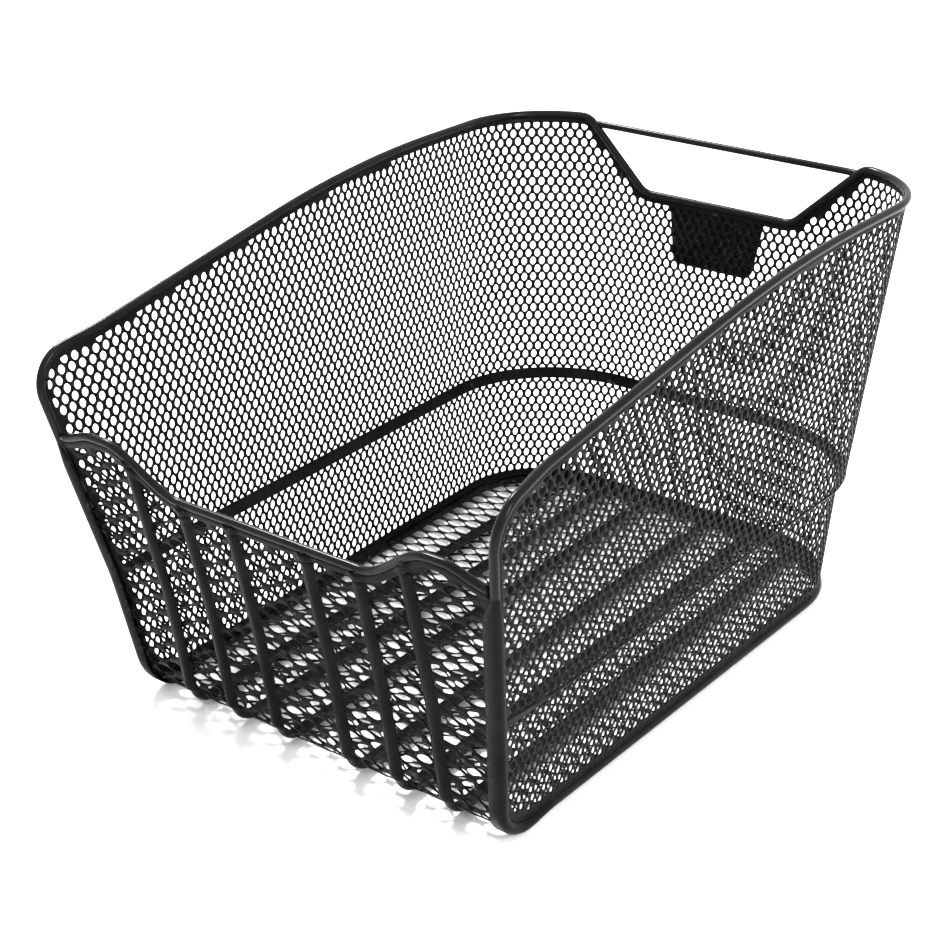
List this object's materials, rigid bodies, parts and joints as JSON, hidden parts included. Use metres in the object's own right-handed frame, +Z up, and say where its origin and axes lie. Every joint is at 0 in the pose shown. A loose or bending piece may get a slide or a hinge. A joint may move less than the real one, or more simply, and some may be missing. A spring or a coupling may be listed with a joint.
{
  "type": "bicycle basket",
  "caption": "Black bicycle basket of fine expanded steel mesh on a bent wire frame, flared, with a low scalloped front, a notched back and a fixed straight carrying handle.",
  "frame": {"origin": "centre of the bounding box in plan, at the level of the surface the basket stands on", "axes": "+X to the right half of the width, +Y along the length from the low front to the handle end, +Z up"},
  "size_m": [0.275, 0.4077, 0.2329],
  "materials": {
    "wire_coat": "satin black powder coat on steel wire",
    "mesh_coat": "satin black powder coat on expanded steel mesh",
    "badge_coat": "smooth satin black plate"
  },
  "bodies": {
    "root": {"rim_wire_left": "wire_coat", "rim_wire_right": "wire_coat", "upright_wire_left": "wire_coat", "upright_wire_right": "wire_coat", "base_wire_left": "wire_coat", "base_wire_right": "wire_coat", "base_wire_back": "wire_coat", "notch_wire": "wire_coat", "front_rim_wire": "wire_coat", "handle_bar": "wire_coat", "edge_strip_left": "mesh_coat", "edge_strip_right": "mesh_coat", "wall_mesh_left": "mesh_coat", "wall_mesh_right": "mesh_coat", "wall_mesh_corner_left": "mesh_coat", "wall_mesh_corner_right": "mesh_coat", "wall_mesh_back": "mesh_coat", "front_mesh": "mesh_coat", "floor_mesh": "mesh_coat", "badge_plate": "badge_coat"}
  },
  "joints": []
}
